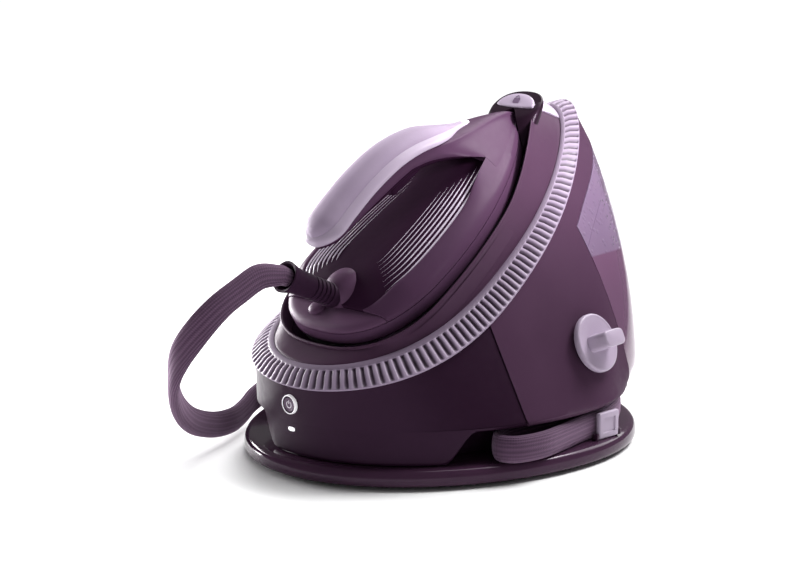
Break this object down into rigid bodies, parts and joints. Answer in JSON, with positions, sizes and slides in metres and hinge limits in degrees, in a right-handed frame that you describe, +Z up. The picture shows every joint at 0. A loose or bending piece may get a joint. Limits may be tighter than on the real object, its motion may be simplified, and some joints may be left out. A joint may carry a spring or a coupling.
{
  "type": "steam generator iron",
  "caption": "Steam generator iron: a boiler base with a ribbed sloping dock, the iron resting on it, a lift-out water tank and a flat steam hose stored round the base.",
  "frame": {"origin": "floor point under the middle of the base plate", "axes": "+Z up, control panel towards -Y, descaling knob on the +X side"},
  "size_m": [0.3006, 0.4182, 0.2866],
  "materials": {
    "gloss_plum_plastic": "high gloss",
    "satin_plum_plastic": "satin",
    "rubber": "matt",
    "mauve_plastic": "satin",
    "pale_mauve_plastic": "satin",
    "lilac_plastic": "satin",
    "dark_plum_plastic": "satin",
    "black_plastic": "satin",
    "silicone": "matt",
    "soft_lilac": "fine grain",
    "light_ring": "translucent gloss",
    "sole_metal": "polished",
    "tank_plastic": "translucent gloss",
    "brass": "machined",
    "board": "solder mask",
    "hose_cloth": "braided"
  },
  "bodies": {
    "base": {"base_plate": "gloss_plum_plastic", "base_tray": "satin_plum_plastic", "boiler": "sole_metal", "clip_ear_1": "gloss_plum_plastic", "clip_ear_2": "gloss_plum_plastic", "control_board": "board", "descale_socket": "black_plastic", "dock_collar": "pale_mauve_plastic", "dock_tray": "dark_plum_plastic", "foot_1": "rubber", "foot_2": "rubber", "foot_3": "rubber", "foot_4": "rubber", "front_housing": "satin_plum_plastic", "hose_inlet": "gloss_plum_plastic", "indicator_lens": "light_ring", "lock_hood": "black_plastic", "mains_gland": "rubber", "power_bezel": "light_ring", "pump": "black_plastic", "rear_housing": "mauve_plastic", "rib_ring": "lilac_plastic", "sole_rest_1": "silicone", "sole_rest_2": "silicone", "steam_hose": "hose_cloth", "steam_valve": "brass", "switch_body": "black_plastic", "tank_bulkhead": "satin_plum_plastic"},
    "iron": {"soleplate": "sole_metal", "heater_block": "sole_metal", "sole_skirt": "dark_plum_plastic", "iron_shell": "pale_mauve_plastic", "heel_cover": "mauve_plastic", "top_cover": "dark_plum_plastic", "handle_core": "dark_plum_plastic", "handle_grip": "soft_lilac", "hose_boot": "satin_plum_plastic", "hose_knuckle": "mauve_plastic", "heel_lamp": "light_ring"},
    "trigger": {"steam_trigger": "lilac_plastic"},
    "lock_button": {"lock_button": "lilac_plastic"},
    "power_button": {"power_button": "satin_plum_plastic"},
    "plug": {"descale_plug": "sole_metal"},
    "knob": {"descale_knob": "lilac_plastic"},
    "tank": {"water_tank": "tank_plastic", "tank_lid": "tank_plastic"},
    "clip": {"hose_clip": "lilac_plastic"}
  },
  "joints": [
    {"name": "iron_lift", "type": "slide", "parent": "base", "child": "iron", "axis": [0, -0.5446, 0.8387], "range_m": [0, 0.08], "deforming": ["steam_hose"]},
    {"name": "trigger_pull", "type": "slide", "parent": "iron", "child": "trigger", "axis": [0, -0.5446, 0.8387], "range_m": [0, 0.004], "stiffness_N_per_m": 500},
    {"name": "lock_press", "type": "slide", "parent": "base", "child": "lock_button", "axis": [0, 0.5446, -0.8387], "range_m": [0, 0.0025], "stiffness_N_per_m": 500},
    {"name": "power_press", "type": "slide", "parent": "base", "child": "power_button", "axis": [0, 0.9984, 0.0569], "range_m": [0, 0.0015], "stiffness_N_per_m": 600},
    {"name": "plug_out", "type": "slide", "parent": "base", "child": "plug", "axis": [0.918, 0.0684, 0.3906], "range_m": [0, 0.006]},
    {"name": "knob_turn", "type": "hinge", "parent": "plug", "child": "knob", "pos_m": [0.12042, 0.056, 0.089], "axis": [0.918, 0.0684, 0.3906], "range_deg": [0, 360]},
    {"name": "tank_draw", "type": "slide", "parent": "base", "child": "tank", "axis": [0, 1, 0], "range_m": [0, 0.09]},
    {"name": "clip_swing", "type": "hinge", "parent": "base", "child": "clip", "pos_m": [0.13966, 0.056, 0.0185], "axis": [0, 1, 0], "range_deg": [0, 70]}
  ],
  "couplings": [
    {"joint": "plug_out", "follows": "knob_turn", "m_per_rad": 0.00095493}
  ]
}
